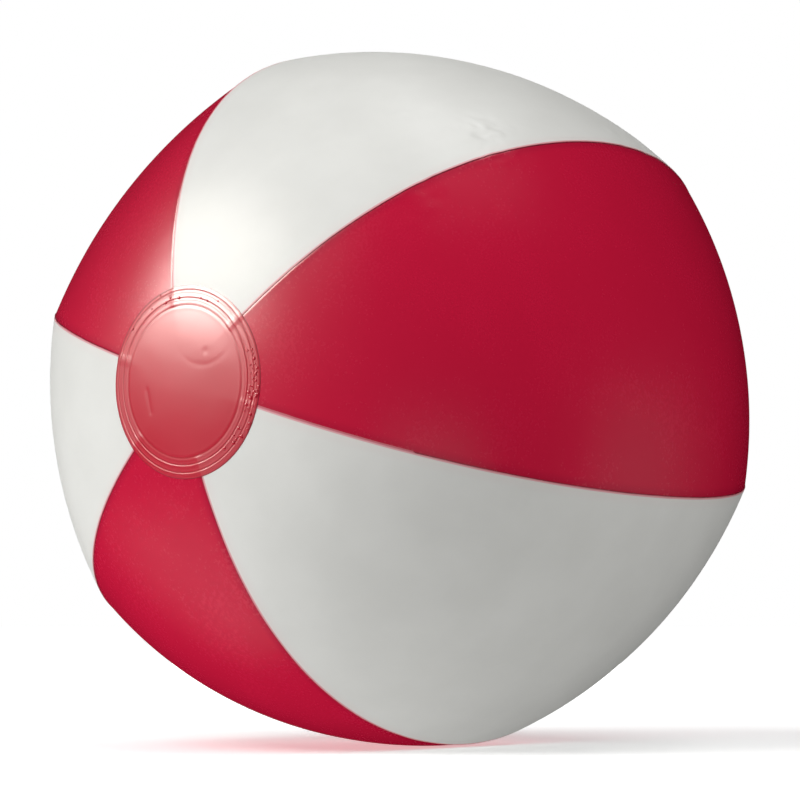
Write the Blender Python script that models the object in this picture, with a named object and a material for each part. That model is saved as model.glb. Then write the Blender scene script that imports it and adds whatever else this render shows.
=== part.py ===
"""Inflatable beach ball: six welded vinyl panels, two end caps and a push-in air valve.

The polar axis lies along Y and the ball's centre is the origin. A direction round the
polar axis is an angle "turn", clockwise from +Z as seen from the front cap at -Y. A
direction down the ball is an angle "polar", from the front pole to the rear one.
"""

import math

import bmesh
import bpy
from mathutils import Matrix, Vector

# Ball, in metres and degrees
SEAM_RADIUS = 0.130  # polar axis to a seam, at the equator
POLE_FLATTENING = 0.039  # pulls the poles in, as a share of the seam radius
SHOULDER_FULLNESS = 0.0185  # pushes the shoulders round each cap out, likewise
PANEL_FULLNESS = 0.962  # middle of a panel to the axis, over seam to the axis
PANEL_COUNT = 6
SEAM_PHASE = -11.75  # turn of the first seam
SHEET = 0.0002  # thickness of the vinyl
GAP = 0.0003  # clearance between touching pieces

# Lap seams: a red panel's lip runs under the white panel beside it
LAP_WIDTH = 0.003
JOGGLE_WIDTH = 0.0008
EDGE_SETBACK = 0.0001

# End caps
CAP_RADIUS = 0.0335
POLE_HOLE_RADIUS = 0.023

# Air valve, in the white panel that the valve side shows, near the rear cap
VALVE_PANEL = 4
VALVE_POLAR = 142.0
WELL_RADIUS = 0.0082
CUP_OUTER_RADIUS = 0.0090
PANEL_HOLE_RADIUS = 0.0088
FLANGE_RADIUS = 0.0160
FLANGE_THICKNESS = 0.0005
FLANGE_DROP = 0.0008
FLANGE_CURVE = 0.115
CUP_DEPTH = 0.0125
CUP_FLOOR = 0.0006
CUP_FLOOR_HOLE = 0.0060
STEM_RADIUS = 0.0043
BORE_RADIUS = 0.0026
STEM_TOP = -0.0005
STEM_BOTTOM = -0.0116
STEM_COLLAR = 0.0010
LUG_REACH = 0.0064
LUG_WIDTH = 0.0030
LUG_DEPTH = 0.0012
HEAD_RADIUS = 0.0046
HEAD_TOP = 0.0013
HEAD_BOTTOM = -0.0002
TONGUE_TOP = 0.0008
PLUG_ROOT_RADIUS = 0.0023
PLUG_TIP_RADIUS = 0.0018
PLUG_TIP = -0.0032
PLUG_HINGE = (LUG_REACH, -0.00035)  # across and up, in the valve's own frame
FLAP_RADIUS = 0.0036
FLAP_THICKNESS = 0.0006
FLAP_HINGE = (FLAP_RADIUS, STEM_BOTTOM - GAP)

# Mesh steps
PANEL_ROWS = 24
PANEL_COLUMNS = 10
CAP_SEGMENTS = 36
CAP_RINGS = 5
VALVE_SEGMENTS = 32
SLOPE_STEP = math.radians(0.05)  # spacing of the samples that give a surface's slope


def clear_scene():
    for scene_object in list(bpy.data.objects):
        bpy.data.objects.remove(scene_object, do_unlink=True)


def vinyl(name, color, roughness, transmission=0.0):
    material = bpy.data.materials.new(name)
    material.use_nodes = True
    shader = material.node_tree.nodes["Principled BSDF"]
    shader.inputs["Base Color"].default_value = (*color, 1.0)
    shader.inputs["Roughness"].default_value = roughness
    shader.inputs["Metallic"].default_value = 0.0
    shader.inputs["Transmission Weight"].default_value = transmission
    return material


def polar_radius(polar):
    """Ball's centre to a seam, at this angle from the front pole."""
    flattening = POLE_FLATTENING * (math.cos(2 * polar) + 1)
    shoulder = SHOULDER_FULLNESS * (1 - math.cos(4 * polar))
    return SEAM_RADIUS * (1 - flattening + shoulder)


def panel_bulge(across):
    """Axis to the panel, over axis to its seams, at this angle from the panel's middle.

    Each panel's cross-section is one arc through both its seams and its middle.
    """
    seam_cosine = math.cos(math.pi / PANEL_COUNT)
    arc_centre = (1 - PANEL_FULLNESS**2) / (2 * (seam_cosine - PANEL_FULLNESS))
    arc_radius = PANEL_FULLNESS - arc_centre
    offset = arc_centre * math.sin(across)
    return arc_centre * math.cos(across) + math.sqrt(arc_radius**2 - offset**2)


def panel_middle(index):
    return math.radians(SEAM_PHASE + 360 / PANEL_COUNT * (index + 0.5))


def on_panel(index, polar, across):
    """Point of a panel's outer face. The face may be run on a little past its seams."""
    radius = polar_radius(polar)
    reach = radius * math.sin(polar) * panel_bulge(across)
    turn = panel_middle(index) + across
    return Vector((reach * math.sin(turn), -radius * math.cos(polar), reach * math.cos(turn)))


def outward(index, polar, across):
    down = on_panel(index, polar + SLOPE_STEP, across) - on_panel(index, polar - SLOPE_STEP, across)
    along = on_panel(index, polar, across + SLOPE_STEP) - on_panel(index, polar, across - SLOPE_STEP)
    normal = down.cross(along).normalized()
    return normal if normal.dot(on_panel(index, polar, across)) > 0 else -normal


def polar_of_reach(reach):
    """Angle from the front pole at which a seam is this far from the polar axis."""
    low, high = 0.0, math.pi / 2
    for _ in range(50):
        middle = (low + high) / 2
        if polar_radius(middle) * math.sin(middle) < reach:
            low = middle
        else:
            high = middle
    return (low + high) / 2


def shell_mesh(name, outer, inner, wrap):
    """A thin closed shell from two grids of points. Its columns wrap round, or end in edges."""
    mesh = bpy.data.meshes.new(name)
    work = bmesh.new()
    skins = [[[work.verts.new(point) for point in row] for row in skin] for skin in (outer, inner)]
    rows, columns = len(outer), len(outer[0])
    steps = range(columns if wrap else columns - 1)
    for side, skin in enumerate(skins):
        for i in range(rows - 1):
            for j in steps:
                k = (j + 1) % columns
                corners = [skin[i][j], skin[i + 1][j], skin[i + 1][k], skin[i][k]]
                work.faces.new(corners[::-1] if side else corners)
    for i, flip in ((0, False), (rows - 1, True)):
        for j in steps:
            k = (j + 1) % columns
            corners = [skins[0][i][j], skins[0][i][k], skins[1][i][k], skins[1][i][j]]
            work.faces.new(corners[::-1] if flip else corners)
    if not wrap:
        for j, flip in ((0, True), (columns - 1, False)):
            for i in range(rows - 1):
                corners = [skins[0][i][j], skins[0][i + 1][j], skins[1][i + 1][j], skins[1][i][j]]
                work.faces.new(corners if flip else corners[::-1])
    bmesh.ops.recalc_face_normals(work, faces=work.faces)
    work.to_mesh(mesh)
    work.free()
    return mesh


def add_object(name, mesh, material, place=None):
    made = bpy.data.objects.new(name, mesh)
    bpy.context.scene.collection.objects.link(made)
    mesh.materials.append(material)
    mesh.shade_smooth()
    mesh.set_sharp_from_angle(angle=math.radians(30))
    if place is not None:
        made.matrix_world = place
    return made


def panel_columns(polar, has_lips):
    """Angle across the panel and depth below the ball's face, for each column of points."""
    reach = polar_radius(polar) * math.sin(polar)
    half = math.pi / PANEL_COUNT
    if not has_lips:
        edge = half - EDGE_SETBACK / reach
        return [(edge * (2 * j / PANEL_COLUMNS - 1), 0.0) for j in range(PANEL_COLUMNS + 1)]
    edge = half - JOGGLE_WIDTH / reach
    middle = [(edge * (2 * j / PANEL_COLUMNS - 1), 0.0) for j in range(PANEL_COLUMNS + 1)]
    sunk = SHEET + GAP
    lip = half + LAP_WIDTH / reach
    return [(-lip, sunk), (-half, sunk), *middle, (half, sunk), (lip, sunk)]


def skin_point(index, polar, across, depth):
    """Point at a depth under the ball's face. Past a seam, the neighbour's face counts."""
    half = math.pi / PANEL_COUNT
    step = 0
    if abs(across) > half:
        step = 1 if across > 0 else -1
    across -= step * 2 * half
    return on_panel(index + step, polar, across) - depth * outward(index + step, polar, across)


def build_panel(index, name, material):
    start = polar_of_reach(POLE_HOLE_RADIUS)
    outer, inner = [], []
    for i in range(PANEL_ROWS + 1):
        polar = start + (math.pi - 2 * start) * i / PANEL_ROWS
        columns = panel_columns(polar, has_lips=index % 2 == 1)
        outer.append([skin_point(index, polar, across, depth) for across, depth in columns])
        inner.append([skin_point(index, polar, across, depth + SHEET) for across, depth in columns])
    return add_object(name, shell_mesh(name, outer, inner, wrap=False), material)


def build_cap(name, side, material):
    """End cap: a shallow dish over the panels' ends. side is -1 for the front, 1 for the rear."""
    rim = polar_of_reach(CAP_RADIUS)
    mesh = bpy.data.meshes.new(name)
    work = bmesh.new()
    skins = []
    for rise in (GAP + SHEET, GAP):
        pole = work.verts.new((0, side * (polar_radius(0) + rise), 0))
        rings = []
        for i in range(1, CAP_RINGS + 1):
            polar = rim * i / CAP_RINGS
            radius = polar_radius(polar) + rise
            reach, height = radius * math.sin(polar), radius * math.cos(polar)
            turns = [2 * math.pi * j / CAP_SEGMENTS for j in range(CAP_SEGMENTS)]
            rings.append(
                [work.verts.new((reach * math.sin(t), side * height, reach * math.cos(t))) for t in turns]
            )
        skins.append((pole, rings))
    for pole, rings in skins:
        for j in range(CAP_SEGMENTS):
            k = (j + 1) % CAP_SEGMENTS
            work.faces.new((pole, rings[0][j], rings[0][k]))
            for inside, outside in zip(rings, rings[1:]):
                work.faces.new((inside[j], outside[j], outside[k], inside[k]))
    outer_rim, inner_rim = skins[0][1][-1], skins[1][1][-1]
    for j in range(CAP_SEGMENTS):
        k = (j + 1) % CAP_SEGMENTS
        work.faces.new((outer_rim[j], inner_rim[j], inner_rim[k], outer_rim[k]))
    bmesh.ops.recalc_face_normals(work, faces=work.faces)
    work.to_mesh(mesh)
    work.free()
    return add_object(name, mesh, material)


def valve_place():
    """The valve's own frame: origin on the panel's face, z out of the ball, x to the equator."""
    polar = math.radians(VALVE_POLAR)
    origin = on_panel(VALVE_PANEL, polar, 0)
    up = outward(VALVE_PANEL, polar, 0)
    to_equator = on_panel(VALVE_PANEL, polar - SLOPE_STEP, 0) - origin
    across = (to_equator - up * to_equator.dot(up)).normalized()
    side = up.cross(across)
    place = Matrix((across, side, up)).transposed().to_4x4()
    place.translation = origin
    return place


def turned_mesh(name, profile, segments=VALVE_SEGMENTS):
    """Solid of revolution about z. The profile is a loop of (radius, height), or starts and ends on z."""
    mesh = bpy.data.meshes.new(name)
    work = bmesh.new()
    add_turned(work, profile, segments)
    work.to_mesh(mesh)
    work.free()
    return mesh


def add_turned(work, profile, segments):
    on_axis = profile[0][0] == 0
    rings = []
    for radius, height in profile:
        if radius == 0:
            rings.append([work.verts.new((0, 0, height))])
            continue
        turns = [2 * math.pi * j / segments for j in range(segments)]
        rings.append([work.verts.new((radius * math.cos(t), radius * math.sin(t), height)) for t in turns])
    pairs = list(zip(rings, rings[1:]))
    if not on_axis:
        pairs.append((rings[-1], rings[0]))
    for first, second in pairs:
        for j in range(segments):
            k = (j + 1) % segments
            if len(first) == 1:
                work.faces.new((first[0], second[j], second[k]))
            elif len(second) == 1:
                work.faces.new((first[j], second[0], first[k]))
            else:
                work.faces.new((first[j], second[j], second[k], first[k]))
    bmesh.ops.recalc_face_normals(work, faces=work.faces)


def block_object(name, low, high):
    """A box between two corners, as a hidden helper for a Boolean."""
    mesh = bpy.data.meshes.new(name)
    work = bmesh.new()
    bmesh.ops.create_cube(work, size=1.0)
    size = Vector(high) - Vector(low)
    middle = (Vector(high) + Vector(low)) / 2
    for vert in work.verts:
        vert.co = Vector((vert.co.x * size.x, vert.co.y * size.y, vert.co.z * size.z)) + middle
    work.to_mesh(mesh)
    work.free()
    return helper_object(name, mesh)


def helper_object(name, mesh):
    helper = bpy.data.objects.new(name, mesh)
    bpy.context.scene.collection.objects.link(helper)
    helper.hide_render = True
    helper.display_type = "WIRE"
    return helper


def add_boolean(target, tool, operation):
    modifier = target.modifiers.new(operation.title(), "BOOLEAN")
    modifier.operation = operation
    modifier.solver = "EXACT"
    modifier.object = tool


def flange_height(radius):
    return -FLANGE_DROP - radius**2 / (2 * FLANGE_CURVE)


def build_valve_base(place, material):
    """Flange under the panel, with the cup that the stem is pushed down into."""
    middle = (CUP_OUTER_RADIUS + FLANGE_RADIUS) / 2
    profile = [
        (WELL_RADIUS, flange_height(WELL_RADIUS)),
        (middle, flange_height(middle)),
        (FLANGE_RADIUS, flange_height(FLANGE_RADIUS)),
        (FLANGE_RADIUS, flange_height(FLANGE_RADIUS) - FLANGE_THICKNESS),
        (middle, flange_height(middle) - FLANGE_THICKNESS),
        (CUP_OUTER_RADIUS, flange_height(CUP_OUTER_RADIUS) - FLANGE_THICKNESS),
        (CUP_OUTER_RADIUS, -CUP_DEPTH),
        (CUP_FLOOR_HOLE, -CUP_DEPTH),
        (CUP_FLOOR_HOLE, -CUP_DEPTH + CUP_FLOOR),
        (WELL_RADIUS, -CUP_DEPTH + CUP_FLOOR),
    ]
    return add_object("valve_base", turned_mesh("valve_base", profile), material, place)


def build_valve_stem(place, material):
    """Neck with its bore, the collar that slides in the cup, and the lug that the plug hangs on."""
    collar = WELL_RADIUS - GAP
    chamfer = 0.0003
    profile = [
        (BORE_RADIUS, STEM_BOTTOM),
        (collar, STEM_BOTTOM),
        (collar, STEM_BOTTOM + STEM_COLLAR),
        (STEM_RADIUS, STEM_BOTTOM + STEM_COLLAR),
        (STEM_RADIUS, STEM_TOP - chamfer),
        (STEM_RADIUS - chamfer, STEM_TOP),
        (BORE_RADIUS + chamfer, STEM_TOP),
        (BORE_RADIUS, STEM_TOP - chamfer),
    ]
    stem = add_object("valve_stem", turned_mesh("valve_stem", profile), material, place)
    lug_root = (BORE_RADIUS + STEM_RADIUS) / 2
    lug = block_object(
        "lug_helper",
        (lug_root, -LUG_WIDTH / 2, STEM_TOP - LUG_DEPTH),
        (LUG_REACH, LUG_WIDTH / 2, STEM_TOP),
    )
    lug.matrix_world = place
    add_boolean(stem, lug, "UNION")
    return stem


def build_valve_plug(place, material):
    """Tapered plug, its round head, and the tongue of the strap that ties it to the lug."""
    hinge = Vector((PLUG_HINGE[0], 0, PLUG_HINGE[1]))
    rounding = 0.0004
    profile = [
        (0, PLUG_TIP),
        (PLUG_TIP_RADIUS, PLUG_TIP),
        (PLUG_ROOT_RADIUS, HEAD_BOTTOM),
        (HEAD_RADIUS, HEAD_BOTTOM),
        (HEAD_RADIUS, HEAD_TOP - rounding),
        (HEAD_RADIUS - rounding, HEAD_TOP),
        (0, HEAD_TOP),
    ]
    mesh = turned_mesh("valve_plug", profile)
    mesh.transform(Matrix.Translation(-hinge))
    plug_place = place @ Matrix.Translation(hinge)
    plug = add_object("valve_plug", mesh, material, plug_place)
    tongue = block_object(
        "tongue_helper",
        (HEAD_RADIUS * 0.6, -LUG_WIDTH / 2, HEAD_BOTTOM),
        (LUG_REACH, LUG_WIDTH / 2, TONGUE_TOP),
    )
    tongue.matrix_world = place
    add_boolean(plug, tongue, "UNION")
    return plug


def build_check_flap(place, material):
    """Tongue over the stem's inner end. It lets air in and falls shut behind it."""
    hinge = Vector((FLAP_HINGE[0], 0, FLAP_HINGE[1]))
    top = FLAP_HINGE[1]
    profile = [(0, top - FLAP_THICKNESS), (FLAP_RADIUS, top - FLAP_THICKNESS), (FLAP_RADIUS, top), (0, top)]
    mesh = turned_mesh("check_flap", profile)
    mesh.transform(Matrix.Translation(-hinge))
    return add_object("check_flap", mesh, material, place @ Matrix.Translation(hinge))


def cut_valve_hole(panel, place):
    depth = 0.02
    profile = [
        (0, -depth),
        (PANEL_HOLE_RADIUS, -depth),
        (PANEL_HOLE_RADIUS, depth),
        (0, depth),
    ]
    cutter = helper_object("valve_hole_cutter", turned_mesh("valve_hole_cutter", profile))
    cutter.matrix_world = place
    add_boolean(panel, cutter, "DIFFERENCE")


def main():
    clear_scene()
    red = (0.48, 0.006, 0.045)
    white = (0.80, 0.80, 0.77)
    panels = []
    for index in range(PANEL_COUNT):
        tint = "red" if index % 2 else "white"
        name = f"{tint}_panel_{index // 2 + 1}"
        material = vinyl(name, red if index % 2 else white, roughness=0.3)
        panels.append(build_panel(index, name, material))
    build_cap("front_cap", -1, vinyl("front_cap", red, roughness=0.25, transmission=0.3))
    build_cap("rear_cap", 1, vinyl("rear_cap", red, roughness=0.25, transmission=0.3))
    place = valve_place()
    soft_clear = (0.78, 0.79, 0.78)
    cut_valve_hole(panels[VALVE_PANEL], place)
    build_valve_base(place, vinyl("valve_base", soft_clear, roughness=0.4, transmission=0.3))
    build_valve_stem(place, vinyl("valve_stem", soft_clear, roughness=0.4, transmission=0.3))
    build_valve_plug(place, vinyl("valve_plug", soft_clear, roughness=0.35, transmission=0.3))
    build_check_flap(place, vinyl("check_flap", soft_clear, roughness=0.5, transmission=0.3))


main()
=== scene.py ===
"""Looks of an inflated beach ball of six welded vinyl panels, two end caps and a push-in air valve."""
import math

import bpy
from mathutils import Matrix, Vector


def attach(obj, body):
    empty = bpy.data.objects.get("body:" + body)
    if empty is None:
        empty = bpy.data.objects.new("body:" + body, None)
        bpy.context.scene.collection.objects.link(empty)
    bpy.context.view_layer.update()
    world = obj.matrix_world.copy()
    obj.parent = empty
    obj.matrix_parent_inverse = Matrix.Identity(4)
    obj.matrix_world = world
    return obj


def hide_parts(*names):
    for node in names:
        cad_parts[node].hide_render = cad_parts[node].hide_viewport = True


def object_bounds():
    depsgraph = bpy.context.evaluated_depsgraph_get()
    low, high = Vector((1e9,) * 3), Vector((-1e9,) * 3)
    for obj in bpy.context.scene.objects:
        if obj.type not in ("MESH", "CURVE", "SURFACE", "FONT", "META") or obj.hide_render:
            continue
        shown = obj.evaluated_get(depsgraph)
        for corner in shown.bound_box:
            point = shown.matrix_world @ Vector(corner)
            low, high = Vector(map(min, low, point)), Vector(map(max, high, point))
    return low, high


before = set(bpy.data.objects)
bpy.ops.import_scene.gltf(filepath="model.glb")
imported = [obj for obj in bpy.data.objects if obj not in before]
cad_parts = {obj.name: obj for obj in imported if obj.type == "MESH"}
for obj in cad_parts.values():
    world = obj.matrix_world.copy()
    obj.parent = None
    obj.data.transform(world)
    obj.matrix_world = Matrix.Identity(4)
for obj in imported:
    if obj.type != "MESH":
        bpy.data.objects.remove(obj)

CAD_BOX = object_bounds()
MM = 0.001

# The ball's outline from pole to pole, as its seams follow it.
SEAM_RADIUS = 130 * MM
POLE_FLATTENING = 0.039
SHOULDER_FULLNESS = 0.0185

# Six seams, in degrees clockwise from the top, seen from the front cap.
SEAM_TURNS = (-10.3, 48.25, 107.83, 166.62, 228.01, 287.18)
# How full each panel stands between its seams, as a share of the seam's own reach.
PANEL_FULLNESS = (0.967, 0.964, 0.961, 0.968, 0.968, 0.941)
PANEL_NAMES = (
    "white_panel_1",
    "red_panel_1",
    "white_panel_2",
    "red_panel_2",
    "white_panel_3",
    "red_panel_3",
)

SHEET = 0.2 * MM
WHITE_OVERLAP = 0.7 * MM
RED_LIP = 1.6 * MM
LIP_SINK = 0.24 * MM
PANEL_END_RADIUS = 23 * MM
CAP_RADIUS = 33.4 * MM
WELD_RINGS = (0.94, 0.86, 0.785)

# How a panel's sheet runs beside its seams.
SEAM_CROWDING = 0.47
WAVER_LENGTH = 18 * MM
NICK_SLOPE = 0.3 * MM
LIP_BEND_START = 1.4 * MM
LIP_BEND_END = 0.2 * MM
LIP_DIVE = 0.31
SWELL_LENGTH = 45 * MM

# An end cap. Shares are of its radius, and its welded rim starts at RIM_START.
RIM_START = 0.775
HALF_SECTOR = math.radians(30)
MIDDLE_BULGE = 0.975
LAP_LINE_OUTER = 1.9 * MM
LAP_LINE_INNER = 1.1 * MM
RING_SLIP = 0.006
RING_SOFTNESS = (1.0, 1.0, 1.7)
RING_DEPTH = (1.0, 1.0, 0.7)
PIT_SIZE = 1.1 * MM
CRESCENT_RADIUS = 14 * MM
CRESCENT_WIDTH = 1.0 * MM
CRESCENT_REACH = 10 * MM
CREASE_WIDTH = 0.9 * MM
BUBBLE_RISE = 0.3 * MM
BUBBLE_FLATNESS = 0.55

# The valve, in the CAD's own place and sizes.
VALVE_ORIGIN = Vector((-0.074356, 0.101048, -0.015466))
VALVE_UP = Vector((-0.527658, 0.842337, -0.109753))
VALVE_ACROSS = Vector((-0.824688, -0.538951, -0.171526))
VALVE_SEAT_FULLNESS = 0.962
VALVE_HOLE = 8.8 * MM
VALVE_FLANGE = 16 * MM
FLANGE_SLOPE = 1.0 * MM
FLANGE_STEP = 0.25 * MM

# The camera's place, and the fills: name, direction in the camera's own axes, and power.
CAMERA_AZIMUTH = 38.52
CAMERA_ELEVATION = -3.375
CAMERA_DISTANCE = 1.30
CAMERA_SHIFT = Vector((0.00014, -0.00078, 0.0))
FILL_DISTANCE = 1.8
FILL_SIZE = 1.2
FILLS = (
    ("upper_left_key", (-0.56, 0.77, 0.32), 21),
    ("lower_left_fill", (-0.78, -0.62, -0.05), 28),
    ("front_fill", (0.05, -0.36, 0.93), 12),
    ("right_fill", (0.95, -0.24, 0.05), 11),
    ("top_fill", (0.27, 0.93, 0.26), 13),
    ("back_fill", (0.05, 0.15, -0.99), 14),
)
SHEEN_DISTANCE = 1.7
WARM_WHITE = (1.0, 0.95, 0.86)
FLOOR_REACHES = (0.5, 1.0, 2.0, 4.0, 8.0)


# ---------------------------------------------------------------- node sketches


class Term:
    """One value in a node tree, which can be used in a sum as it would be on paper."""

    def __init__(self, sketch, socket):
        self.sketch = sketch
        self.socket = socket

    def __add__(self, other):
        return self.sketch.math("ADD", self, other)

    def __radd__(self, other):
        return self.sketch.math("ADD", other, self)

    def __sub__(self, other):
        return self.sketch.math("SUBTRACT", self, other)

    def __rsub__(self, other):
        return self.sketch.math("SUBTRACT", other, self)

    def __mul__(self, other):
        return self.sketch.math("MULTIPLY", self, other)

    def __rmul__(self, other):
        return self.sketch.math("MULTIPLY", other, self)

    def __truediv__(self, other):
        return self.sketch.math("DIVIDE", self, other)

    def __rtruediv__(self, other):
        return self.sketch.math("DIVIDE", other, self)


class Sketch:
    """A tree of nodes being drawn, for a shape or for a finish."""

    def __init__(self, tree):
        self.tree = tree

    def add(self, kind, inputs=None, **settings):
        node = self.tree.nodes.new(kind)
        for name, value in settings.items():
            setattr(node, name, value)
        for key, value in (inputs or {}).items():
            self.feed(node.inputs[key], value)
        return node

    def feed(self, socket, value):
        if isinstance(value, Term):
            self.tree.links.new(value.socket, socket)
        else:
            socket.default_value = value

    def term(self, node, output=0):
        return Term(self, node.outputs[output])

    def math(self, operation, *terms):
        return self.term(self.add("ShaderNodeMath", dict(enumerate(terms)), operation=operation))

    def sin(self, angle):
        return self.math("SINE", angle)

    def cos(self, angle):
        return self.math("COSINE", angle)

    def least(self, first, second):
        return self.math("MINIMUM", first, second)

    def most(self, first, second):
        return self.math("MAXIMUM", first, second)

    def size_of(self, value):
        return self.math("ABSOLUTE", value)

    def hump(self, value):
        """One where the value is zero, and falling softly to nothing on both sides of it."""
        return self.math("EXPONENT", value * value * -1.0)

    def ramp(self, value, start, end, low=0.0, high=1.0, soft=True):
        """Goes from low to high while value goes from start to end, and stays there."""
        kind = "SMOOTHSTEP" if soft else "LINEAR"
        inputs = {"Value": value, "From Min": start, "From Max": end, "To Min": low, "To Max": high}
        return self.term(self.add("ShaderNodeMapRange", inputs, interpolation_type=kind))

    def vector(self, x, y, z):
        return self.term(self.add("ShaderNodeCombineXYZ", {0: x, 1: y, 2: z}))

    def parts(self, vector):
        node = self.add("ShaderNodeSeparateXYZ", {0: vector})
        return [self.term(node, i) for i in range(3)]

    def turn_vector(self, operation, first, second=None, scale=None):
        """One step of vector arithmetic. A distance, a length and a dot product come out as a number."""
        node = self.add("ShaderNodeVectorMath", {0: first}, operation=operation)
        if second is not None:
            self.feed(node.inputs[1], second)
        if scale is not None:
            self.feed(node.inputs["Scale"], scale)
        return self.term(node, 1 if operation in ("DISTANCE", "LENGTH", "DOT_PRODUCT") else 0)

    def noise(self, place, length, detail=2.0, roughness=0.5):
        """Soft random bumps about this length apart, from -1 to 1."""
        inputs = {"Vector": place, "Scale": 1 / length, "Detail": detail, "Roughness": roughness}
        return self.term(self.add("ShaderNodeTexNoise", inputs)) * 2.0 - 1.0


class ShapeRule(Sketch):
    """A Geometry Nodes tree with named inputs, which ends in one plain mesh with its material."""

    def __init__(self, title, **asked):
        super().__init__(bpy.data.node_groups.new(title, "GeometryNodeTree"))
        kinds = {int: "NodeSocketInt", float: "NodeSocketFloat", tuple: "NodeSocketVector"}
        for name, value in asked.items():
            label = name.replace("_", " ").capitalize()
            socket = self.tree.interface.new_socket(label, in_out="INPUT", socket_type=kinds[type(value)])
            socket.default_value = value
        self.tree.interface.new_socket("Finish", in_out="INPUT", socket_type="NodeSocketMaterial")
        self.tree.interface.new_socket("Geometry", in_out="OUTPUT", socket_type="NodeSocketGeometry")
        self.entry = self.tree.nodes.new("NodeGroupInput")
        self.result = None

    def __getattr__(self, name):
        """A named input is read as an attribute of the rule."""
        entry = self.__dict__.get("entry")
        label = name.replace("_", " ").capitalize()
        if entry is None or label not in entry.outputs:
            raise AttributeError(name)
        return Term(self, entry.outputs[label])

    def place(self):
        return self.term(self.add("GeometryNodeInputPosition"))

    def normal(self):
        return self.term(self.add("GeometryNodeInputNormal"))

    def grid(self, columns, rows):
        """A flat grid to be bent into the piece, with its two sides as values from 0 to 1."""
        inputs = {"Size X": 1.0, "Size Y": 1.0, "Vertices X": columns, "Vertices Y": rows}
        self.result = self.term(self.add("GeometryNodeMeshGrid", inputs))
        x, y, _ = self.parts(self.place())
        return x + 0.5, y + 0.5

    def store(self, name, value):
        inputs = {"Geometry": self.result, "Name": name, "Value": value}
        node = self.add("GeometryNodeStoreNamedAttribute", inputs, data_type="FLOAT", domain="POINT")
        self.result = self.term(node)

    def stored(self, name):
        return self.term(self.add("GeometryNodeInputNamedAttribute", {"Name": name}, data_type="FLOAT"))

    def move_to(self, position):
        self.result = self.term(
            self.add("GeometryNodeSetPosition", {"Geometry": self.result, "Position": position})
        )

    def lift(self, height):
        """Moves the surface along its own normal."""
        offset = self.turn_vector("SCALE", self.normal(), scale=height)
        self.result = self.term(
            self.add("GeometryNodeSetPosition", {"Geometry": self.result, "Offset": offset})
        )

    def merge(self, distance):
        self.result = self.term(
            self.add("GeometryNodeMergeByDistance", {"Geometry": self.result, "Distance": distance})
        )

    def end(self):
        plain = self.term(self.add("GeometryNodeRealizeInstances", {"Geometry": self.result}))
        smooth = self.term(self.add("GeometryNodeSetShadeSmooth", {"Geometry": plain, "Shade Smooth": True}))
        inputs = {"Geometry": smooth, "Material": self.finish}
        finished = self.term(self.add("GeometryNodeSetMaterial", inputs))
        self.add("NodeGroupOutput", {0: finished})
        return self.tree


def made_by(rule_tree, name, finish, **sizes):
    """The plain mesh object that a shape rule gives with these sizes."""
    holder = bpy.data.objects.new(name + "_holder", bpy.data.meshes.new(name + "_holder"))
    bpy.context.scene.collection.objects.link(holder)
    modifier = holder.modifiers.new("rule", "NODES")
    modifier.node_group = rule_tree
    wanted = {key.replace("_", " ").capitalize(): value for key, value in sizes.items()}
    wanted["Finish"] = finish
    for socket in rule_tree.interface.items_tree:
        if socket.in_out == "INPUT" and socket.name in wanted:
            modifier[socket.identifier] = wanted.pop(socket.name)
    if wanted:
        raise ValueError(f"{name}: the rule has no input named {sorted(wanted)}")
    piece = settled(holder, name)
    bpy.data.objects.remove(holder)
    return piece


def settled(source, name):
    """A new plain object with the source's shape once its modifiers have acted."""
    bpy.context.view_layer.update()
    graph = bpy.context.evaluated_depsgraph_get()
    mesh = bpy.data.meshes.new_from_object(
        source.evaluated_get(graph), preserve_all_data_layers=True, depsgraph=graph
    )
    mesh.name = name
    piece = bpy.data.objects.new(name, mesh)
    bpy.context.scene.collection.objects.link(piece)
    return piece


# ---------------------------------------------------------------- the ball's shape


def seam_distance(sketch, polar):
    """How far a seam lies from the ball's centre, at this angle from a pole."""
    flattening = (sketch.cos(polar * 2.0) + 1.0) * POLE_FLATTENING
    shoulder = (1.0 - sketch.cos(polar * 4.0)) * SHOULDER_FULLNESS
    return (1.0 - flattening + shoulder) * SEAM_RADIUS


def bulge_between_seams(sketch, across, half_width, fullness):
    """The reach of a panel as a share of its seams' reach: an arc through both seams."""
    corner = sketch.cos(half_width)
    arc_centre = (1.0 - fullness * fullness) / ((corner - fullness) * 2.0)
    arc_radius = fullness - arc_centre
    offset = arc_centre * sketch.sin(across)
    return arc_centre * sketch.cos(across) + sketch.math("SQRT", arc_radius * arc_radius - offset * offset)


def on_ball(sketch, polar, turn, bulge):
    distance = seam_distance(sketch, polar)
    reach = distance * sketch.sin(polar) * bulge
    return sketch.vector(
        reach * sketch.sin(turn), distance * sketch.cos(polar) * -1.0, reach * sketch.cos(turn)
    )


def seam_distance_at(polar):
    """The same distance as a plain number."""
    flattening = POLE_FLATTENING * (math.cos(2 * polar) + 1)
    shoulder = SHOULDER_FULLNESS * (1 - math.cos(4 * polar))
    return SEAM_RADIUS * (1 - flattening + shoulder)


def seams_of(index):
    """The turns, in degrees, of this panel's two seams."""
    if index + 1 < len(SEAM_TURNS):
        return SEAM_TURNS[index], SEAM_TURNS[index + 1]
    return SEAM_TURNS[index], SEAM_TURNS[0] + 360


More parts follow.
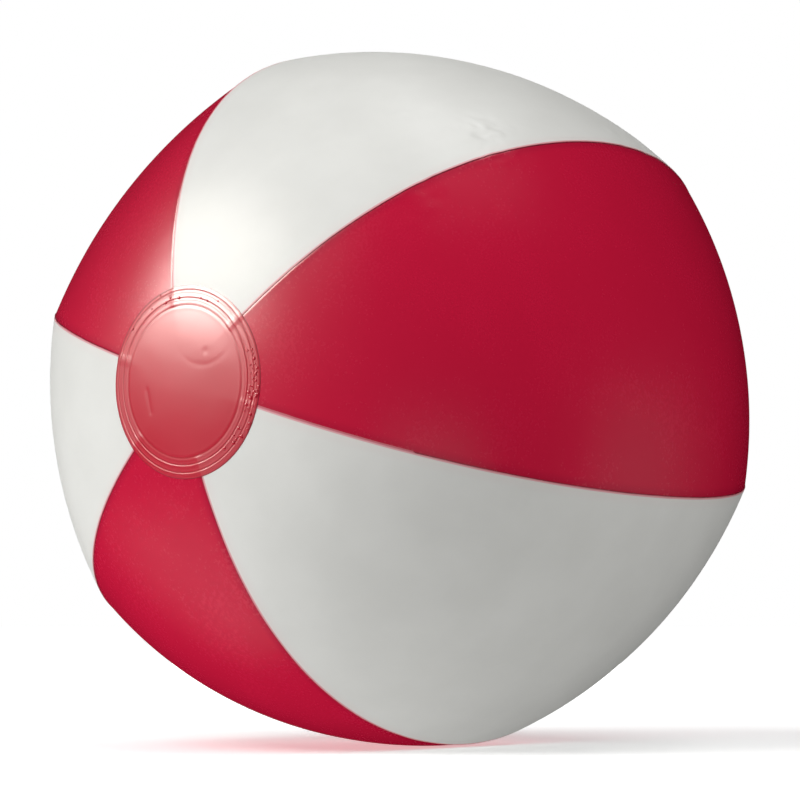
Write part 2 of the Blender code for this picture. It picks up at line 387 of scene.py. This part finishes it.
def ball_point(polar_degrees, turn_degrees):
    """The point on a panel's surface at this angle from the front pole and this turn from the top."""
    polar = math.radians(polar_degrees)
    turn = math.radians(turn_degrees)
    index = max(i for i, seam in enumerate(SEAM_TURNS) if seam <= turn_degrees)
    first, last = seams_of(index)
    half = math.radians(last - first) / 2
    across = turn - math.radians(first + last) / 2
    fullness = PANEL_FULLNESS[index]
    arc_centre = (1 - fullness**2) / (2 * (math.cos(half) - fullness))
    arc_radius = fullness - arc_centre
    bulge = arc_centre * math.cos(across) + math.sqrt(arc_radius**2 - (arc_centre * math.sin(across)) ** 2)
    distance = seam_distance_at(polar)
    reach = distance * math.sin(polar) * bulge
    return (reach * math.sin(turn), -distance * math.cos(polar), reach * math.cos(turn))


def pole_angle(reach):
    """The angle from a pole at which a seam is this far from the ball's axis."""
    polar = reach / SEAM_RADIUS
    for _ in range(8):
        polar = math.asin(reach / seam_distance_at(polar))
    return polar


# Places where the sheets were gathered a little as they were welded: centre, size, height, bump length.
GATHERS = (
    (ball_point(65.5, 42.2), 9 * MM, 0.90 * MM, 5 * MM),
    (ball_point(62.5, 49.2), 7 * MM, 0.80 * MM, 6 * MM),
    (ball_point(50, 51), 10 * MM, 0.80 * MM, 9 * MM),
    (ball_point(58, 30.7), 12 * MM, 0.60 * MM, 7 * MM),
    (ball_point(59.5, 111), 11 * MM, 0.55 * MM, 7 * MM),
    (ball_point(100, 46), 18 * MM, 0.60 * MM, 9 * MM),
)

# Small blisters and pinches beside the same seams: centre, size, height.
BLISTERS = (
    (ball_point(64.6, 41.6), 1.7 * MM, 0.26 * MM),
    (ball_point(66.6, 43.3), 1.6 * MM, 0.30 * MM),
    (ball_point(67.4, 44.4), 1.4 * MM, 0.25 * MM),
    (ball_point(66.0, 45.2), 1.5 * MM, -0.21 * MM),
    (ball_point(68.4, 42.2), 1.7 * MM, 0.16 * MM),
    (ball_point(70.3, 43.6), 1.6 * MM, 0.15 * MM),
    (ball_point(62.4, 43.6), 2.2 * MM, 0.15 * MM),
    (ball_point(57.6, 31.0), 1.6 * MM, 0.12 * MM),
    (ball_point(59.0, 28.4), 1.4 * MM, 0.11 * MM),
    (ball_point(62.2, 50.2), 2.4 * MM, 0.29 * MM),
    (ball_point(64.6, 50.4), 2.2 * MM, 0.27 * MM),
    (ball_point(66.8, 49.8), 1.5 * MM, 0.21 * MM),
    (ball_point(58.6, 108.6), 1.7 * MM, 0.15 * MM),
    (ball_point(60.6, 112.6), 1.8 * MM, 0.16 * MM),
)


def panel_rule():
    """One panel, from one seam to the next and from the front cap to the rear one."""
    rule = ShapeRule(
        "Welded panel",
        columns=120,
        rows=210,
        first_seam=0.0,
        last_seam=1.0,
        fullness=0.962,
        end_angle=0.18,
        overlap=0.0007,
        edge_waver=0.0001,
        lip_sink=0.0,
        pucker_height=0.00008,
        pucker_length=0.009,
        pucker_reach=0.008,
        film_swell=0.00012,
        seat_size=0.0,
        nick_at=0.0,
        nick_width=0.0,
    )
    u, v = rule.grid(rule.columns, rule.rows)
    side = u * 2.0 - 1.0
    # Columns crowd towards the seams, where the lap needs them.
    side = side * (1.0 + SEAM_CROWDING - side * side * SEAM_CROWDING)
    half = (rule.last_seam - rule.first_seam) * 0.5
    middle = (rule.last_seam + rule.first_seam) * 0.5
    polar = rule.end_angle + v * (math.pi - rule.end_angle * 2.0)
    seam_reach = seam_distance(rule, polar) * rule.sin(polar)
    along = polar * SEAM_RADIUS
    waver = rule.noise(rule.vector(along, middle, side * 0.01), WAVER_LENGTH, 3.0) * rule.edge_waver
    # The edge is cut wider from the front cap as far as the nick.
    nick = rule.ramp(along, rule.nick_at + NICK_SLOPE, rule.nick_at - NICK_SLOPE)
    nick = nick * rule.ramp(side, -0.9, -0.95) * rule.nick_width
    across = side * (half + (rule.overlap + waver + nick) / seam_reach)
    gap = (half - rule.size_of(across)) * seam_reach
    rule.store("seam_gap", gap)
    rule.store("along_seam", along)
    rule.store("side", side)
    # Close to the valve the panel keeps the exact height of the valve's seat.
    first = on_ball(rule, polar, middle + across, bulge_between_seams(rule, across, half, rule.fullness))
    from_valve = rule.turn_vector("DISTANCE", first, tuple(VALVE_ORIGIN))
    seat = rule.ramp(from_valve, rule.seat_size * 1.7, rule.seat_size * 0.8) * rule.ramp(
        rule.seat_size, 0.0, 0.001
    )
    fullness = rule.fullness + (VALVE_SEAT_FULLNESS - rule.fullness) * seat
    rule.move_to(on_ball(rule, polar, middle + across, bulge_between_seams(rule, across, half, fullness)))
    # A red lip goes down under the white sheet and on beyond the seam.
    gap = rule.stored("seam_gap")
    along = rule.stored("along_seam")
    sink = rule.ramp(gap, LIP_BEND_START, LIP_BEND_END) * rule.lip_sink
    past = rule.most(gap * -1.0, 0.0) * LIP_DIVE * rule.ramp(rule.lip_sink, 0.0, 0.0001)
    # Puckers run away from the seam, and they are the same on both sheets.
    near = rule.most(gap, 0.0)
    fade = rule.math("EXPONENT", near / rule.pucker_reach * -1.0)
    pucker_place = rule.vector(along / rule.pucker_length, near / rule.pucker_length * 0.3, 3.7)
    pucker = rule.term(rule.add("ShaderNodeTexNoise", {"Vector": pucker_place, "Scale": 1.0, "Detail": 2.0}))
    height = (pucker * 2.0 - 1.0) * fade * rule.pucker_height
    height = height + rule.noise(rule.place(), SWELL_LENGTH, 1.0) * rule.film_swell
    for centre, size, rise, length in GATHERS:
        apart = rule.turn_vector("DISTANCE", rule.place(), centre) / size
        height = height + rule.noise(rule.place(), length, 2.0) * rule.hump(apart) * rise
    for centre, size, rise in BLISTERS:
        apart = rule.turn_vector("DISTANCE", rule.place(), centre) / size
        height = height + rule.hump(apart) * rise
    # A disc under the sheet, the valve's flange, shows as a low step around the valve.
    away = rule.turn_vector("DISTANCE", rule.place(), tuple(VALVE_ORIGIN))
    flange = rule.ramp(away, VALVE_FLANGE + FLANGE_SLOPE, VALVE_FLANGE - FLANGE_SLOPE) * FLANGE_STEP
    height = height + flange * rule.ramp(rule.seat_size, 0.0, 0.001)
    rule.lift(height - sink - past)
    return rule.end()


def cap_surface(rule, share, turn, facing):
    """A point on an end cap: share is the distance from its middle as a part of its radius."""
    reach = share * rule.cap_radius
    nearest = None
    ridge = None
    for seam in SEAM_TURNS:
        apart = rule.math("WRAP", turn - math.radians(seam), math.pi, -math.pi)
        apart = rule.size_of(apart)
        nearest = apart if nearest is None else rule.least(nearest, apart)
        line = rule.ramp(apart * reach, LAP_LINE_OUTER, LAP_LINE_INNER)
        ridge = line if ridge is None else rule.most(ridge, line)
    bulge = bulge_between_seams(rule, HALF_SECTOR - nearest, HALF_SECTOR, rule.fullness)
    bulge = MIDDLE_BULGE + (bulge - MIDDLE_BULGE) * rule.ramp(share, 0.4, 0.85)
    polar = rule.math("ARCSINE", reach / bulge / (SEAM_RADIUS * 0.93))
    for _ in range(2):
        polar = rule.math("ARCSINE", reach / bulge / seam_distance(rule, polar))
    distance = seam_distance(rule, polar)
    position = rule.vector(
        reach * rule.sin(turn), distance * rule.cos(polar) * facing, reach * rule.cos(turn)
    )
    ridge = ridge * rule.ramp(share, RIM_START, 0.81) * rule.lap_ridge
    return position, ridge


def cap_rule():
    """A round end cap: a thin dish welded over the panels' ends along pressed rings."""
    rule = ShapeRule(
        "Welded end cap",
        rings=165,
        around=280,
        cap_radius=CAP_RADIUS,
        fullness=0.962,
        facing=-1.0,
        stand_proud=0.00022,
        lap_ridge=0.00009,
        press_depth=0.00008,
        press_width=0.00028,
        film_swell=0.00010,
        dent_depth=0.0005,
        dent=(0.0, 0.0, 0.0),
        crescent_centre=(0.0, 0.0, 0.0),
        crease_start=(0.0, 0.0, 0.0),
        crease_end=(0.0, 0.0, 0.001),
    )
    u, v = rule.grid(rule.around, rule.rings)
    # Rows crowd into the welded rim, where the pressed rings are.
    v = rule.least(v * 1.9, 0.76 + (v - 0.4) * 0.4)
    turn = u * math.tau
    # The rings sit a little off centre, as they do when the press meets the cap by hand.
    slip = rule.sin(turn - 0.9) * RING_SLIP
    position, ridge = cap_surface(rule, v, turn, rule.facing)
    rule.store("share", v)
    rule.store("ridge", ridge)
    press = None
    for number, ring in enumerate(WELD_RINGS):
        apart = rule.size_of(v + slip * (3 - number) * 0.5 - ring) * rule.cap_radius / rule.press_width
        apart = apart / RING_SOFTNESS[number]
        # The vinyl pressed out of the valley stands up beside it.
        line = (rule.hump(apart) - rule.hump(apart - 2.1) * 0.45) * RING_DEPTH[number]
        press = line if press is None else press + line
    rule.store("press", press)
    rule.move_to(position)
    rule.merge(0.000002)
    share = rule.stored("share")
    height = rule.stand_proud + rule.stored("ridge") - rule.stored("press") * rule.press_depth
    # The cut edge thins out as the press melts it down.
    height = height - rule.ramp(share, 0.975, 1.0) * 0.00015
    height = height + rule.noise(rule.place(), 0.018, 1.0) * rule.film_swell * rule.ramp(share, 0.80, 0.6)
    inner = rule.ramp(share, 0.80, 0.72)
    apart = rule.turn_vector("DISTANCE", rule.place(), rule.dent)
    pit = rule.hump(apart / PIT_SIZE) * rule.dent_depth * 0.13
    # One wide shallow crescent runs below the dent, round a centre above it.
    sweep = rule.turn_vector("DISTANCE", rule.place(), rule.crescent_centre)
    arc = rule.hump((sweep - CRESCENT_RADIUS) / CRESCENT_WIDTH) * rule.hump(apart / CRESCENT_REACH)
    height = height - (pit + arc * rule.dent_depth * 0.09) * inner
    # The crease: how far a point lies from the line between its two ends.
    line = rule.turn_vector("SUBTRACT", rule.crease_end, rule.crease_start)
    reach = rule.turn_vector("SUBTRACT", rule.place(), rule.crease_start)
    long = rule.turn_vector("DOT_PRODUCT", line, line)
    along = rule.ramp(rule.turn_vector("DOT_PRODUCT", reach, line) / long, 0.0, 1.0, soft=False)
    foot = rule.turn_vector("ADD", rule.crease_start, rule.turn_vector("SCALE", line, scale=along))
    off = rule.turn_vector("DISTANCE", rule.place(), foot) / CREASE_WIDTH
    height = height - rule.hump(off) * rule.dent_depth * 0.22 * inner
    # The front cap's normals point forward and the rear one's back, whichever way the grid was wound.
    rule.lift(height * rule.facing * -1.0)
    return rule.end()


def bubble_rule():
    """Small bubbles of air caught under a cap's welded rim."""
    rule = ShapeRule(
        "Air bubbles in the weld",
        count=60,
        cap_radius=CAP_RADIUS,
        fullness=0.962,
        facing=-1.0,
        lap_ridge=0.0,
        from_turn=1.0,
        to_turn=2.4,
        from_share=0.865,
        to_share=0.985,
        least_size=0.00022,
        most_size=0.00064,
        seed=5,
    )

    def chance(low, high, salt):
        node = rule.add("FunctionNodeRandomValue", data_type="FLOAT")
        for key, value in ((2, low), (3, high), (8, rule.seed + salt)):
            rule.feed(node.inputs[key], value)
        return rule.term(node, 1)

    rule.result = rule.term(rule.add("GeometryNodePoints", {"Count": rule.count}))
    spread = chance(rule.from_turn, rule.to_turn, 0.0) + chance(-0.25, 0.25, 1.0)
    position, _ = cap_surface(rule, chance(rule.from_share, rule.to_share, 2.0), spread, rule.facing)
    outward = rule.turn_vector("SCALE", rule.turn_vector("NORMALIZE", position), scale=BUBBLE_RISE)
    rule.move_to(rule.turn_vector("ADD", position, outward))
    dome = rule.term(rule.add("GeometryNodeMeshIcoSphere", {"Radius": 1.0, "Subdivisions": 2}))
    upright = rule.term(
        rule.add("FunctionNodeAlignRotationToVector", {"Vector": rule.place()}, axis="Z")
    )
    size = chance(rule.least_size, rule.most_size, 3.0)
    scale = rule.vector(size, size, size * BUBBLE_FLATNESS)
    inputs = {"Points": rule.result, "Instance": dome, "Rotation": upright, "Scale": scale}
    rule.result = rule.term(rule.add("GeometryNodeInstanceOnPoints", inputs))
    return rule.end()


# ---------------------------------------------------------------- finishes


class Finish(Sketch):
    """A Principled material being mixed, with short calls for what vinyl sheet needs."""

    def __init__(self, name, roughness, **sockets):
        self.material = bpy.data.materials.new(name)
        self.material.use_nodes = True
        super().__init__(self.material.node_tree)
        self.shader = self.tree.nodes["Principled BSDF"]
        self.base_roughness = roughness
        self.shader.inputs["Roughness"].default_value = roughness
        for socket, value in sockets.items():
            self.shader.inputs[socket.replace("_", " ")].default_value = value

    def place(self):
        return self.term(self.add("ShaderNodeTexCoord"), "Object")

    def stored(self, name):
        node = self.add("ShaderNodeAttribute", attribute_name=name)
        return self.term(node, 2)

    def blend(self, amount, first, second):
        """Two colours mixed. A colour is three numbers or another mix."""
        node = self.add("ShaderNodeMix", {0: amount}, data_type="RGBA")
        for slot, colour in ((6, first), (7, second)):
            if isinstance(colour, Term):
                self.feed(node.inputs[slot], colour)
            else:
                node.inputs[slot].default_value = (*colour, 1.0)
        return self.term(node, 2)

    def colour(self, value):
        self.feed(self.shader.inputs["Base Color"], value)

    def roughness(self, value):
        self.feed(self.shader.inputs["Roughness"], value)

    def bump(self, height, distance, strength=1.0):
        inputs = {"Height": height, "Distance": distance, "Strength": strength}
        self.feed(self.shader.inputs["Normal"], self.term(self.add("ShaderNodeBump", inputs)))


def stretched(sketch, place, x, y, z):
    """A place with each direction made longer or shorter, for a grain that runs one way."""
    return sketch.turn_vector("MULTIPLY", place, (x, y, z))


def film_surface(finish):
    """The skin of calendered vinyl film: a faint orange peel, a drawn grain and small scuffs."""
    place = finish.place()
    peel = finish.noise(place, 0.0011, 3.0, 0.55)
    drawn = finish.noise(stretched(finish, place, 1.0, 0.16, 1.0), 0.0028, 2.0)
    cloud = finish.noise(place, 0.022, 3.0)
    scuff_grain = finish.noise(stretched(finish, place, 0.35, 1.0, 1.6), 0.0009, 4.0, 0.7)
    scuffs = finish.ramp(scuff_grain, 0.46, 0.62) * finish.ramp(cloud, 0.05, 0.5)
    finish.roughness(cloud * 0.010 + scuffs * 0.03 + peel * 0.015 + finish.base_roughness)
    finish.bump(peel * 0.35 + drawn * 0.45 + scuffs * 0.05, 0.00002, 0.18)
    return cloud, scuffs


def white_vinyl():
    finish = Finish("white_vinyl_sheet", 0.42, Specular_IOR_Level=0.25)
    cloud, scuffs = film_surface(finish)
    body = finish.blend(finish.ramp(cloud, -0.6, 0.7), (0.800, 0.800, 0.765), (0.845, 0.845, 0.810))
    body = finish.blend(scuffs * 0.10, body, (0.70, 0.70, 0.67))
    # Past the seam the thin white edge lies on the red sheet, which glows through.
    gap = finish.stored("seam_gap")
    body = finish.blend(finish.ramp(gap, 0.0045, 0.0) * 0.10, body, (0.84, 0.50, 0.50))
    over_red = finish.ramp(gap, 0.00012, -0.00012)
    pink = finish.blend(finish.ramp(gap, -0.0003, -0.0008), (0.80, 0.42, 0.44), (0.62, 0.16, 0.20))
    finish.colour(finish.blend(over_red, body, pink))
    return finish.material


def red_vinyl():
    finish = Finish("red_vinyl_sheet", 0.27)
    cloud, scuffs = film_surface(finish)
    body = finish.blend(finish.ramp(cloud, -0.6, 0.7), (0.610, 0.0090, 0.046), (0.630, 0.0096, 0.050))
    body = finish.blend(scuffs * 0.02, body, (0.55, 0.05, 0.08))
    # A dark line lies along the white sheet's edge: the pressed vinyl's darker colour with painted shadow in
    # the groove under that edge. Beside it the lap is made deeper in colour with painted shade.
    gap = finish.stored("seam_gap")
    lap = finish.ramp(gap, 0.0046, 0.0012) * 0.32
    body = finish.blend(lap, body, (0.30, 0.004, 0.03))
    # Painted shadow, with the pressed vinyl's own darker colour: the dark line under the white sheet's edge.
    line = finish.ramp(gap, 0.0013, 0.0009) * 0.85
    finish.colour(finish.blend(line, body, (0.27, 0.008, 0.032)))
    return finish.material


def cap_vinyl():
    """Red vinyl that lets the white panels' ends show through its welded rim, with a painted highlight making
    the rim over the top panel paler.
    """
    finish = Finish("cap_vinyl_sheet", 0.34, Specular_IOR_Level=0.95)
    cloud, scuffs = film_surface(finish)
    body = finish.blend(finish.ramp(cloud, -0.6, 0.7), (0.55, 0.011, 0.034), (0.58, 0.013, 0.040))
    x, _, z = finish.parts(finish.place())
    turn = finish.math("ARCTAN2", x, z)
    share = finish.stored("share")
    white_show_and_highlight = None
    # Each white panel: its two seams, and how clearly it shows. The top one is set nearly three times as
    # strong as the other two, and that extra is a painted highlight on the cap's top.
    for first, last, showing_and_highlight in ((0, 1, 1.0), (2, 3, 0.35), (4, 5, 0.35)):
        start = math.radians(SEAM_TURNS[first])
        width = math.radians(SEAM_TURNS[last] - SEAM_TURNS[first])
        within = finish.math("WRAP", turn - start, math.tau, 0.0)
        inside = finish.ramp(within, -0.004, 0.004) * finish.ramp(within, width + 0.022, width + 0.012)
        inside = inside * showing_and_highlight
        white_show_and_highlight = inside if white_show_and_highlight is None else finish.most(white_show_and_highlight, inside)
    welded = finish.ramp(share, RIM_START, 0.80)
    # Partly painted highlight: the welded rim goes pale pink over the white panels, palest over the top one.
    body = finish.blend(white_show_and_highlight * welded * 0.42, body, (0.78, 0.34, 0.34))
    press = finish.stored("press")
    body = finish.blend(finish.ramp(press, 0.3, 0.9) * 0.75, body, (0.42, 0.010, 0.020))
    # Painted shade: a dark line along the cap's cut edge, where it stands proud of the panels.
    rim = finish.ramp(share, 0.988, 0.997) * 0.75
    body = finish.blend(rim, body, (0.20, 0.008, 0.02))
    finish.colour(finish.blend(scuffs * 0.06, body, (0.62, 0.08, 0.09)))
    return finish.material


def milky_vinyl(name, tint, shade):
    finish = Finish(name, 0.30, Coat_Weight=0.25, Coat_Roughness=0.15)
    place = finish.place()
    cloud = finish.noise(place, 0.004, 3.0)
    peel = finish.noise(place, 0.0006, 2.0)
    flow = finish.noise(stretched(finish, place, 1.0, 1.0, 0.25), 0.0016, 2.0)
    body = finish.blend(finish.ramp(cloud, -0.7, 0.7), tint, shade)
    finish.colour(finish.blend(finish.ramp(flow, 0.2, 0.7) * 0.3, body, tuple(0.93 * part for part in shade)))
    finish.roughness(cloud * 0.05 + peel * 0.03 + finish.base_roughness)
    finish.bump(peel * 0.4 + flow * 0.6, 0.00002, 0.5)
    return finish.material


# ---------------------------------------------------------------- camera, light and floor


def set_up_camera():
    azimuth = math.radians(CAMERA_AZIMUTH)
    elevation = math.radians(CAMERA_ELEVATION)
    toward = Vector(
        (
            math.sin(azimuth) * math.cos(elevation),
            -math.cos(azimuth) * math.cos(elevation),
            math.sin(elevation),
        )
    )
    camera = bpy.data.objects.new("camera", bpy.data.cameras.new("camera"))
    bpy.context.scene.collection.objects.link(camera)
    camera.data.lens = 158.5
    camera.data.sensor_width = 36.0
    camera.rotation_euler = (-toward).to_track_quat("-Z", "Y").to_euler()
    turn = camera.rotation_euler.to_matrix()
    camera.location = toward * CAMERA_DISTANCE + turn @ CAMERA_SHIFT
    camera.data.clip_end = 100
    bpy.context.scene.camera = camera
    return turn


def softbox(name, towards, distance, size, power, sheen_only=False, tint=(1.0, 1.0, 1.0)):
    """A square soft light. It shows either in the sheen only, or only as a fill."""
    light = bpy.data.lights.new(name, "AREA")
    light.size = size
    light.energy = power
    light.color = tint
    box = bpy.data.objects.new(name, light)
    bpy.context.scene.collection.objects.link(box)
    box.location = towards.normalized() * distance
    box.rotation_euler = towards.to_track_quat("Z", "Y").to_euler()
    box.visible_camera = False
    box.visible_glossy = sheen_only
    box.visible_diffuse = not sheen_only


def set_up_light(view):
    """A broad key from the upper left, low fills all round and two softboxes for the sheen."""
    for name, direction, power in FILLS:
        softbox(name, view @ Vector(direction), FILL_DISTANCE, FILL_SIZE, power)
    sheen = view @ Vector((-0.86, 0.474, 0.187))
    softbox("sheen_softbox", sheen, SHEEN_DISTANCE, 0.8, 52, sheen_only=True, tint=WARM_WHITE)
    # A small one from above picks out the puckers beside the upper seam.
    above = view @ Vector((0.13, 0.975, -0.155))
    softbox("top_sheen", above, SHEEN_DISTANCE, 0.5, 6, sheen_only=True)
    world = bpy.data.worlds.new("studio")
    world.use_nodes = True
    backdrop = world.node_tree.nodes["Background"]
    backdrop.inputs["Color"].default_value = (1.0, 1.0, 1.0, 1.0)
    backdrop.inputs["Strength"].default_value = 1.0
    bpy.context.scene.world = world
    world.cycles_visibility.diffuse = False
    world.cycles_visibility.glossy = False
    bpy.context.scene.view_settings.view_transform = "Standard"
    bpy.context.scene.view_settings.look = "None"


def lay_floor(level):
    """A wide pale floor, lit brighter away from the ball so that it runs into the white room."""
    steps = 96
    points = [(0.0, 0.0, level)]
    faces = []
    for reach in FLOOR_REACHES:
        for step in range(steps):
            angle = math.tau * step / steps
            points.append((reach * math.cos(angle), reach * math.sin(angle), level))
    for step in range(steps):
        faces.append((0, 1 + step, 1 + (step + 1) % steps))
    for ring in range(len(FLOOR_REACHES) - 1):
        for step in range(steps):
            inner = 1 + ring * steps
            outer = inner + steps
            after = (step + 1) % steps
            faces.append((inner + step, outer + step, outer + after, inner + after))
    mesh = bpy.data.meshes.new("floor")
    mesh.from_pydata(points, [], faces)
    mesh.polygons.foreach_set("use_smooth", [True] * len(mesh.polygons))
    floor = bpy.data.objects.new("floor", mesh)
    bpy.context.scene.collection.objects.link(floor)
    finish = Finish("pale_floor", 0.9)
    grain = finish.noise(finish.place(), 0.02, 3.0)
    finish.colour(finish.blend(finish.ramp(grain, -1.0, 1.0), (0.90, 0.90, 0.90), (0.92, 0.92, 0.92)))
    # Painted light: the floor glows, weaker close to the ball and full white far from it.
    finish.shader.inputs["Emission Color"].default_value = (1.0, 1.0, 1.0, 1.0)
    away = finish.turn_vector("LENGTH", finish.place())
    finish.feed(finish.shader.inputs["Emission Strength"], finish.ramp(away, 0.15, 1.4, 0.42, 1.0))
    mesh.materials.append(finish.material)
    # The fills below reach the ball, and its sheen stays free of the floor.
    floor.visible_shadow = False
    floor.visible_diffuse = False
    floor.visible_glossy = False


# ---------------------------------------------------------------- pieces


def give_thickness(piece, thickness, name):
    wall = piece.modifiers.new("sheet thickness", "SOLIDIFY")
    wall.thickness = thickness
    wall.offset = -1.0
    wall.use_rim = True
    wall.use_quality_normals = True
    finished = settled(piece, name)
    bpy.data.objects.remove(piece)
    return finished


def cut_valve_hole(piece, name):
    bpy.ops.mesh.primitive_cylinder_add(vertices=128, radius=VALVE_HOLE, depth=0.03)
    cutter = bpy.context.object
    cutter.data.transform(valve_frame())
    cutter.location = (0, 0, 0)
    hole = piece.modifiers.new("valve hole", "BOOLEAN")
    hole.operation = "DIFFERENCE"
    hole.solver = "EXACT"
    hole.object = cutter
    finished = settled(piece, name)
    bpy.data.objects.remove(cutter)
    bpy.data.objects.remove(piece)
    return finished


def make_panels(white, red):
    rule = panel_rule()
    for index, name in enumerate(PANEL_NAMES):
        is_white = index % 2 == 0
        first, last = seams_of(index)
        has_valve = name == "white_panel_3"
        sheet = made_by(
            rule,
            name + "_sheet",
            white if is_white else red,
            columns=150 if has_valve else 120,
            rows=260 if has_valve else 320,
            first_seam=math.radians(first),
            last_seam=math.radians(last),
            fullness=PANEL_FULLNESS[index],
            end_angle=pole_angle(PANEL_END_RADIUS),
            overlap=WHITE_OVERLAP if is_white else RED_LIP,
            edge_waver=0.00032 if is_white else 0.0,
            lip_sink=0.0 if is_white else LIP_SINK,
            seat_size=VALVE_FLANGE if has_valve else 0.0,
            nick_at=math.radians(42) * SEAM_RADIUS,
            nick_width=0.0005 if name == "white_panel_2" else 0.0,
        )
        sheet = give_thickness(sheet, SHEET, name + "_skin")
        if has_valve:
            sheet = cut_valve_hole(sheet, name + "_skin")
        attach(sheet, "ball")
        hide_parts(name)


def make_caps(finish):
    rule = cap_rule()
    for name, facing in (("front_cap", -1.0), ("rear_cap", 1.0)):
        front = facing < 0
        dish = made_by(
            rule,
            name + "_sheet",
            finish,
            facing=facing,
            dent=ball_point(7.0, 46.7) if front else ball_point(173, 200),
            crescent_centre=ball_point(10.6, 26.2) if front else ball_point(170, 180),
            crease_start=ball_point(8.6, 236) if front else ball_point(171, 20),
            crease_end=ball_point(8.2, 262) if front else ball_point(170, 45),
            dent_depth=0.00042 if front else 0.0003,
        )
        dish = give_thickness(dish, SHEET, name + "_dish")
        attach(dish, "ball")
        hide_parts(name)
    rule = bubble_rule()
    for name, count, from_turn, to_turn in (
        ("front_cap_bubbles_right", 46, 1.25, 2.30),
        ("front_cap_bubbles_top", 12, -1.1, 0.5),
    ):
        bubbles = made_by(rule, name, finish, count=count, from_turn=from_turn, to_turn=to_turn)
        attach(bubbles, "ball")


def valve_frame():
    side = VALVE_UP.cross(VALVE_ACROSS)
    turn = Matrix((VALVE_ACROSS, side, VALVE_UP)).transposed()
    return Matrix.Translation(VALVE_ORIGIN) @ turn.to_4x4()


def dress_valve(milky):
    for name in ("valve_base", "valve_stem", "valve_plug", "check_flap"):
        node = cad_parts[name]
        node.data.materials.clear()
        node.data.materials.append(milky)


view = set_up_camera()
set_up_light(view)
white_sheet = white_vinyl()
red_sheet = red_vinyl()
cap_sheet = cap_vinyl()
milky_sheet = milky_vinyl("milky_valve_vinyl", (0.80, 0.82, 0.80), (0.70, 0.72, 0.71))
make_panels(white_sheet, red_sheet)
make_caps(cap_sheet)
dress_valve(milky_sheet)
lay_floor(CAD_BOX[0][2] - 0.0001)
